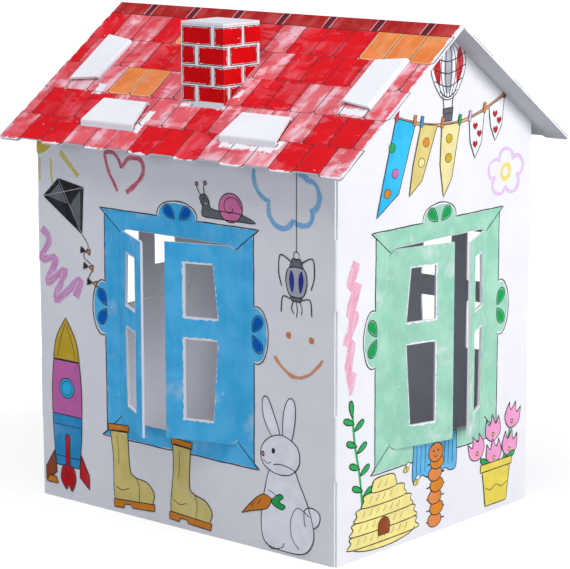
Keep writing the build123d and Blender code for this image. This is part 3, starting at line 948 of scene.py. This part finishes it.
# The two walls out of sight carry the same things in other places
hiddenWalls = {
    "low_window_print": ("left", [(-190, 690), (236, 276)], [
        (hive, -170, 30, 0.98), (sprig, 240, 118, 0.9), (pot, 90, 84), (balloon, -10, 880, 1.1),
        (snail, 170, 668, 0.9), (boot, -30, 120, 0.8)]),
    "door_frame_print": ("back", [(290, 704), (20, 470)], [
        (rabbit, 60, 162), (pot, 250, 84, 1.1), (kite, 150, 600, 0.9), (lantern, 344, 430, 0.9), (snail, 210, 330)]),
}
for name, (wall, flowers, motifs) in hiddenWalls.items():
    sheet = newSheet(name, walls[wall])
    for place in flowers:
        crayonFlower(sheet, *place)
    paintFrame(sheet, openings[wall])
    for motif in motifs:
        drawMotif(sheet, *motif)
    finishSheet(sheet)

# Bricks round the chimney, in four courses with white joints. Each face has the roof's height and slope at
# its foot, then the first and last millimetre of its bricks in the even and in the odd courses
stack = {"x": -7, "y": house["ridgeY"] - 181.5, "wide": 115, "deep": 108.5, "top": 1003, "courses": 4,
         "course": 39.2, "brick": 34.6, "smallest": 40}
slopeTan = tan(house["pitch"])
bricks = {
    "front": (855, 0, ((6, 81), (91, 120)), ((5, 38), (49, 120))),
    "right": (852.5, slopeTan, ((-5, 53), (61, 113)), ((-5, 10), (19, 98))),
    "back": (930, 0, ((6, 51), (60, 120)), ((6, 81), (90, 120))),
    "left": (928, -slopeTan, ((-5, 15), (24, 101)), ((-5, 39), (50, 105))),
}


# Cuts a ring of points off below a slanting foot
def cutBelow(ring, foot, rise):
    kept = []
    for i, point in enumerate(ring):
        before = ring[i - 1]
        gap, gapBefore = (end[1] - (foot + end[0] * rise) for end in (point, before))
        if gap * gapBefore < 0:
            share = gapBefore / (gapBefore - gap)
            kept.append((before[0] + (point[0] - before[0]) * share, before[1] + (point[1] - before[1]) * share))
        if gap >= 0:
            kept.append(point)
    return kept


# The part of a ring between the edges of its wall, or the whole ring, closed, where it stays within them
def onWall(ring, wide):
    inside = [0 <= x <= wide for x, y in ring]
    if all(inside):
        return ring + ring[:1]
    start = next(i for i in range(len(ring)) if inside[i] and not inside[i - 1])
    return [point for point in ring[start:] + ring[:start] if 0 <= point[0] <= wide]


for face, spot in fourSides(stack["x"], stack["y"], stack["wide"], stack["deep"], 0.5).items():
    sheet = newSheet("chimney_bricks_" + face, spot)
    foot, rise, *courses = bricks[face]
    wide = stack["deep" if rise else "wide"]
    for course in range(stack["courses"]):
        high = stack["top"] - course * stack["course"]
        low = high - stack["brick"]
        for start, stop in courses[course % 2]:
            box = [(start, low), (stop, low), (stop, high), (start, high)]
            ring, edge = (cutBelow(closeSpaced(box, gap), foot, rise) for gap in (4, 1.5))
            edge = onWall(jitter(edge, 0.5, 0.1), wide)
            if len(edge) < 6 or abs(area(edge)) < stack["smallest"]:
                continue
            painted = [(min(max(x, 0.1), wide - 0.1), y) for x, y in jitter(inset(ring, 1.7), 0.9, 0.2, start)]
            painted = [point for i, point in enumerate(painted) if dist(point, painted[i - 1]) > 0.5]
            fillArea(sheet, painted, (*colour["brick"], 1))
            strokeLine(sheet, edge, pen["brick"])
    finishSheet(sheet)
print("bricks painted")

# Stage: a pale floor, white to the camera, that keeps the contact shadow
stage = {"floorSize": 24, "floorTone": (0.36, 0.36, 0.36), "below": 0.0005, "glow": (0.8, 1.8, 0.72, 1),
         "sky": 0.34, "skyTint": (0.90, 0.935, 1), "white": (1, 1, 1)}


# A mask of the rays that the camera sees, straight or in a gloss
def seenRays():
    rays = step("LightPath", {}).outputs
    return plus(rays["Is Camera Ray"], rays["Is Glossy Ray"], clamp=True)


floorMaterial, shader = shade("paleFloor", 0.9)
put(stage["floorTone"], shader["Base Color"])
put(stage["white"], shader["Emission Color"])
distance = step("VectorMath", {0: objectPlace()}, operation="LENGTH")
put(times(seenRays(), ease(distance.outputs["Value"], *stage["glow"])), shader["Emission Strength"])
floorMesh = bpy.data.meshes.new("floor")
bm = bmesh.new()
bmesh.ops.create_grid(bm, x_segments=1, y_segments=1, size=stage["floorSize"] / 2)
bmesh.ops.translate(bm, verts=bm.verts, vec=(0, 0, -stage["below"]))
bm.to_mesh(floorMesh)
bm.free()
floor = newObject("floor", floorMesh)
floorMesh.materials.append(floorMaterial)

# Soft studio light, brighter from the right and above
world = bpy.data.worlds.new("studio")
bpy.context.scene.world = world
world.use_nodes = True
tree = world.node_tree
seen = seenRays()
background = tree.nodes["Background"].inputs
put(blend(seen, stage["skyTint"], stage["white"]), background["Color"])
put(blendValue(seen, stage["sky"], 1), background["Strength"])

lights = {
    "key": {"at": (4.4, 0.7, 1.8), "to": (0.3, 0, 0.5), "size": 2.4, "power": 158, "colour": (0.985, 0.975, 1)},
    "top": {"at": (0.3, -1.3, 4.1), "to": (0, 0, 0.8), "size": 2.4, "power": 79, "colour": (0.98, 0.985, 1)},
    "front": {"at": (-0.6, -5, 1.3), "to": (0, 0, 0.5), "size": 3, "power": 54, "colour": (0.87, 0.90, 1)},
    "room": {"at": (-0.06, -0.05, 0.05), "to": (-0.4, 0.18, 0.24), "size": 0.2, "power": 0.3, "spread": 120,
             "colour": (0.87, 0.885, 1)},
}
for name, lamp in lights.items():
    shine = bpy.data.lights.new(name, "AREA")
    shine.size = lamp["size"]
    shine.energy = lamp["power"]
    shine.color = lamp["colour"]
    shine.spread = radians(lamp.get("spread", 180))
    stand = newObject(name, shine)
    stand.location = lamp["at"]
    stand.rotation_euler = (Vector(lamp["to"]) - stand.location).to_track_quat("-Z", "Y").to_euler()
    stand.visible_camera = False

# Camera at the photo's angle
view = {"at": (3.2066, -3.7416, 1.4258), "turn": 41.17, "tilt": 11.07, "roll": -0.219, "lens": 153.2,
        "sensor": 36, "shiftX": 0.0532, "shiftY": -0.0051}
lens = bpy.data.cameras.new("camera")
lens.lens = view["lens"]
lens.sensor_width = view["sensor"]
lens.sensor_fit = "HORIZONTAL"
lens.shift_x = view["shiftX"]
lens.shift_y = view["shiftY"]
camera = newObject("camera", lens)
aim = Euler((radians(90 - view["tilt"]), 0, radians(view["turn"]))).to_matrix()
aim = aim @ Matrix.Rotation(radians(view["roll"]), 3, "Z")
camera.matrix_world = Matrix.Translation(view["at"]) @ aim.to_4x4()
bpy.context.scene.camera = camera
bpy.context.scene.view_settings.view_transform = "Standard"
print("stage ready")
